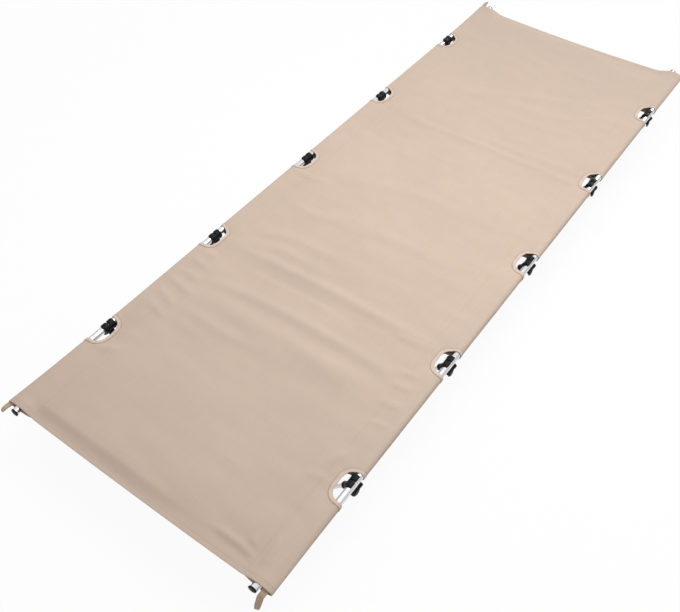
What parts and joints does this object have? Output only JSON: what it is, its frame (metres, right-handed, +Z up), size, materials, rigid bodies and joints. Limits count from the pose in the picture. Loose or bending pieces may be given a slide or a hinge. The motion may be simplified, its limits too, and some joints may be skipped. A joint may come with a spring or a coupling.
{
  "type": "camping cot",
  "caption": "Low camping cot: a cloth bed sleeved onto two plug-together pole rails, held taut by sprung bow legs with feet and cam-lever rail clips.",
  "frame": {"origin": "on the floor under the middle of the bed, midway between the rails and between the cloth ends", "axes": "+Y along the bed towards the far end of the picture, +Z up, +X across the bed to the right-hand rail"},
  "size_m": [0.676, 1.946, 0.1272],
  "materials": {
    "bed_fabric": "tightly woven tan polyester, matt",
    "webbing": "woven tan-brown nylon webbing",
    "rail_aluminium": "polished, clear anodised tube",
    "bow_aluminium": "dark grey anodised rod",
    "black_nylon": "moulded black nylon, fine satin grain",
    "foot_rubber": "moulded dark rubber",
    "binding_tape": "folded binding tape, fine rib",
    "thread": "polyester sewing thread"
  },
  "bodies": {
    "bed": {"bed_cloth": "bed_fabric", "rail_left_1": "rail_aluminium", "rail_left_2": "rail_aluminium", "rail_left_3": "rail_aluminium", "rail_left_4": "rail_aluminium", "rail_left_5": "rail_aluminium", "rail_right_1": "rail_aluminium", "rail_right_2": "rail_aluminium", "rail_right_3": "rail_aluminium", "rail_right_4": "rail_aluminium", "rail_right_5": "rail_aluminium", "end_cap_near_left": "black_nylon", "end_cap_near_right": "black_nylon", "end_cap_far_left": "black_nylon", "end_cap_far_right": "black_nylon", "pull_loop_near_left": "webbing", "pull_loop_near_right": "webbing", "pull_loop_far_left": "webbing", "pull_loop_far_right": "webbing"},
    "leg_1": {"bow_1_left": "bow_aluminium", "bow_1_right": "bow_aluminium", "foot_1_left": "foot_rubber", "foot_1_right": "foot_rubber", "rail_clip_1_left": "black_nylon", "rail_clip_1_right": "black_nylon"},
    "leg_2": {"bow_2_left": "bow_aluminium", "bow_2_right": "bow_aluminium", "foot_2_left": "foot_rubber", "foot_2_right": "foot_rubber", "rail_clip_2_left": "black_nylon", "rail_clip_2_right": "black_nylon"},
    "leg_3": {"bow_3_left": "bow_aluminium", "bow_3_right": "bow_aluminium", "foot_3_left": "foot_rubber", "foot_3_right": "foot_rubber", "rail_clip_3_left": "black_nylon", "rail_clip_3_right": "black_nylon"},
    "leg_4": {"bow_4_left": "bow_aluminium", "bow_4_right": "bow_aluminium", "foot_4_left": "foot_rubber", "foot_4_right": "foot_rubber", "rail_clip_4_left": "black_nylon", "rail_clip_4_right": "black_nylon"},
    "leg_5": {"bow_5_left": "bow_aluminium", "bow_5_right": "bow_aluminium", "foot_5_left": "foot_rubber", "foot_5_right": "foot_rubber", "rail_clip_5_left": "black_nylon", "rail_clip_5_right": "black_nylon"},
    "lever_1_left": {"lever_1_left": "black_nylon"},
    "lever_1_right": {"lever_1_right": "black_nylon"},
    "lever_2_left": {"lever_2_left": "black_nylon"},
    "lever_2_right": {"lever_2_right": "black_nylon"},
    "lever_3_left": {"lever_3_left": "black_nylon"},
    "lever_3_right": {"lever_3_right": "black_nylon"},
    "lever_4_left": {"lever_4_left": "black_nylon"},
    "lever_4_right": {"lever_4_right": "black_nylon"},
    "lever_5_left": {"lever_5_left": "black_nylon"},
    "lever_5_right": {"lever_5_right": "black_nylon"}
  },
  "joints": [
    {"name": "leg_1_slide", "type": "slide", "parent": "bed", "child": "leg_1", "axis": [0, 1, 0], "range_m": [-0.03, 0.001]},
    {"name": "leg_2_slide", "type": "slide", "parent": "bed", "child": "leg_2", "axis": [0, 1, 0], "range_m": [-0.0185, 0.0125]},
    {"name": "leg_3_slide", "type": "slide", "parent": "bed", "child": "leg_3", "axis": [0, 1, 0], "range_m": [-0.0235, 0.0075]},
    {"name": "leg_4_slide", "type": "slide", "parent": "bed", "child": "leg_4", "axis": [0, 1, 0], "range_m": [-0.0105, 0.0205]},
    {"name": "leg_5_slide", "type": "slide", "parent": "bed", "child": "leg_5", "axis": [0, 1, 0], "range_m": [-0.0185, 0.0125]},
    {"name": "lever_1_left_hinge", "type": "hinge", "parent": "leg_1", "child": "lever_1_left", "pos_m": [-0.329, -0.6915, 0.10288], "axis": [0, 1, 0], "range_deg": [0, 100]},
    {"name": "lever_1_right_hinge", "type": "hinge", "parent": "leg_1", "child": "lever_1_right", "pos_m": [0.329, -0.6915, 0.10288], "axis": [0, -1, 0], "range_deg": [0, 100]},
    {"name": "lever_2_left_hinge", "type": "hinge", "parent": "leg_2", "child": "lever_2_left", "pos_m": [-0.329, -0.35, 0.10288], "axis": [0, 1, 0], "range_deg": [0, 100]},
    {"name": "lever_2_right_hinge", "type": "hinge", "parent": "leg_2", "child": "lever_2_right", "pos_m": [0.329, -0.35, 0.10288], "axis": [0, -1, 0], "range_deg": [0, 100]},
    {"name": "lever_3_left_hinge", "type": "hinge", "parent": "leg_3", "child": "lever_3_left", "pos_m": [-0.329, 0.008, 0.10288], "axis": [0, 1, 0], "range_deg": [0, 100]},
    {"name": "lever_3_right_hinge", "type": "hinge", "parent": "leg_3", "child": "lever_3_right", "pos_m": [0.329, 0.008, 0.10288], "axis": [0, -1, 0], "range_deg": [0, 100]},
    {"name": "lever_4_left_hinge", "type": "hinge", "parent": "leg_4", "child": "lever_4_left", "pos_m": [-0.329, 0.348, 0.10288], "axis": [0, 1, 0], "range_deg": [0, 100]},
    {"name": "lever_4_right_hinge", "type": "hinge", "parent": "leg_4", "child": "lever_4_right", "pos_m": [0.329, 0.348, 0.10288], "axis": [0, -1, 0], "range_deg": [0, 100]},
    {"name": "lever_5_left_hinge", "type": "hinge", "parent": "leg_5", "child": "lever_5_left", "pos_m": [-0.329, 0.709, 0.10288], "axis": [0, 1, 0], "range_deg": [0, 100]},
    {"name": "lever_5_right_hinge", "type": "hinge", "parent": "leg_5", "child": "lever_5_right", "pos_m": [0.329, 0.709, 0.10288], "axis": [0, -1, 0], "range_deg": [0, 100]}
  ]
}
